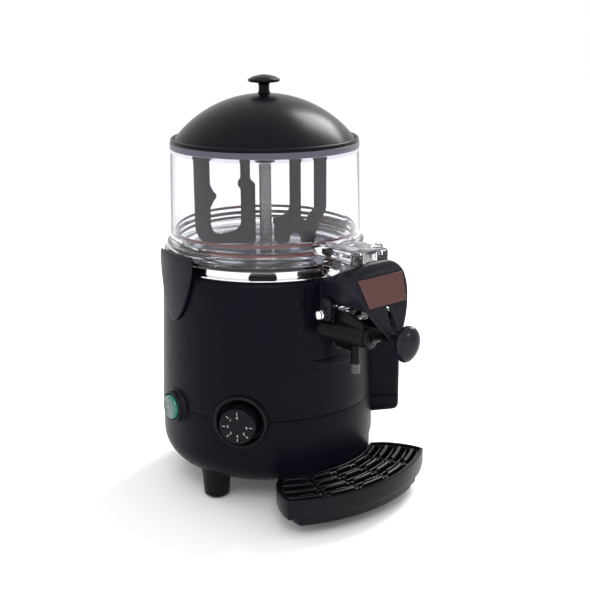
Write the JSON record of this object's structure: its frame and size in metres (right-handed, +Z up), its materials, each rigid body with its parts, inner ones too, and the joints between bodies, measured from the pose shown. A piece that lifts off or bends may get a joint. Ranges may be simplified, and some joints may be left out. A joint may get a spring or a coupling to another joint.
{
  "type": "heated sauce dispenser",
  "caption": "Round counter-top dispenser that heats and stirs nacho cheese or another thick sauce in a clear bowl and pours it through a lever tap over a drip tray.",
  "frame": {"origin": "on the surface it stands on, under the middle of its bounding box; the bowl's axis is 52 mm behind it and 6.3 mm to its left", "axes": "+Z up; -Y is the front, where the tap and the drip tray are"},
  "size_m": [0.2865, 0.3659, 0.4696],
  "materials": {
    "casing": "satin moulded black plastic with a fine grain",
    "trim": "dark moulded plastic",
    "dial": "black plastic with white printed marks",
    "knob": "polished dark plastic",
    "steel": "stainless steel",
    "bright_steel": "bright plated steel",
    "motor": "grey painted gearbox and motor can",
    "bowl": "clear moulded plastic, frosted at the rim",
    "paddle": "charcoal moulded plastic",
    "white_plastic": "off-white engineering plastic",
    "rubber": "soft black rubber",
    "seal": "grey silicone rubber",
    "tube": "black moulded plastic",
    "plug": "grey moulded plastic",
    "button": "translucent green plastic with a pale face",
    "label": "brown plastic plate, left blank",
    "tray": "black moulded plastic",
    "grid": "black moulded plastic"
  },
  "bodies": {
    "base": {"lower_shell": "casing", "upper_shell": "casing", "front_panel": "casing", "base_plate": "steel", "base_screws": "bright_steel", "legs": "casing", "leg_pads": "rubber", "water_tank": "steel", "tank_gasket": "seal", "heater_ring": "steel", "bowl_catches": "trim", "gear_motor": "motor", "motor_bracket": "steel", "motor_screws": "bright_steel", "shaft_bush": "white_plastic", "thermostat_body": "white_plastic", "dial_bezel": "trim", "switch_bezel": "trim", "switch_body": "trim", "side_box": "casing", "side_box_cover": "casing", "side_box_screws": "bright_steel", "rocker_frame": "trim", "terminal_block": "white_plastic", "cord_gland": "trim", "drain_tube": "tube", "tray_bracket": "trim"},
    "drive": {"drive_shaft": "steel"},
    "dial": {"thermostat_dial": "dial"},
    "button": {"power_button": "button"},
    "rocker": {"mixer_rocker": "dial"},
    "plug": {"drain_plug": "plug"},
    "tray": {"drip_tray": "tray"},
    "grid": {"drip_grid": "grid"},
    "bowl_unit": {"bowl": "bowl", "centre_tube": "steel", "tube_nut": "bright_steel", "tube_bush": "white_plastic", "vent_cap": "bowl", "handle_left": "casing", "handle_right": "casing", "handle_screws": "bright_steel", "tap_hood": "casing", "label_plate": "label", "tap_pin": "bright_steel"},
    "lever": {"lever_yoke": "trim", "lever_knob": "knob"},
    "piston": {"valve_piston": "white_plastic", "piston_rings": "rubber", "piston_pin": "bright_steel"},
    "lid": {"lid": "casing", "lid_knob": "trim", "lid_screw": "bright_steel"},
    "paddle": {"paddle": "paddle"}
  },
  "joints": [
    {"name": "drive_spin", "type": "hinge", "parent": "base", "child": "drive", "pos_m": [-0.0063, 0.052, 0.18], "axis": [0, 0, 1], "continuous": true},
    {"name": "bowl_lift", "type": "slide", "parent": "base", "child": "bowl_unit", "axis": [0, 0, 1], "range_m": [0, 0.12]},
    {"name": "paddle_spin", "type": "hinge", "parent": "bowl_unit", "child": "paddle", "pos_m": [-0.0063, 0.052, 0.386], "axis": [0, 0, 1], "continuous": true},
    {"name": "lid_lift", "type": "slide", "parent": "bowl_unit", "child": "lid", "axis": [0, 0, 1], "range_m": [0, 0.1]},
    {"name": "lever_lift", "type": "hinge", "parent": "bowl_unit", "child": "lever", "pos_m": [-0.0063, -0.086, 0.232], "axis": [-1, 0, 0], "range_deg": [0, 18]},
    {"name": "piston_lift", "type": "slide", "parent": "bowl_unit", "child": "piston", "axis": [0, 0, 1], "range_m": [0, 0.0072]},
    {"name": "dial_turn", "type": "hinge", "parent": "base", "child": "dial", "pos_m": [-0.10985, -0.02324, 0.108], "axis": [-0.809, -0.5878, 0], "range_deg": [0, 270]},
    {"name": "power_push", "type": "slide", "parent": "base", "child": "button", "axis": [0.9925, -0.1219, 0], "range_m": [0, 0.003], "stiffness_N_per_m": 300, "springref_m": -0.002},
    {"name": "rocker_tilt", "type": "hinge", "parent": "base", "child": "rocker", "pos_m": [0.11704, -0.03695, 0.112], "axis": [-0.4848, -0.8746, 0], "range_deg": [0, 8.4]},
    {"name": "plug_pull", "type": "slide", "parent": "base", "child": "plug", "axis": [0, 0, -1], "range_m": [0, 0.014]},
    {"name": "tray_pull", "type": "slide", "parent": "base", "child": "tray", "axis": [0, -1, 0], "range_m": [0, 0.07]},
    {"name": "grid_lift", "type": "slide", "parent": "tray", "child": "grid", "axis": [0, 0, 1], "range_m": [0, 0.03]}
  ],
  "couplings": [
    {"joint": "drive_spin", "follows": "paddle_spin", "ratio": 1},
    {"joint": "piston_lift", "follows": "lever_lift", "m_per_rad": 0.0224}
  ]
}
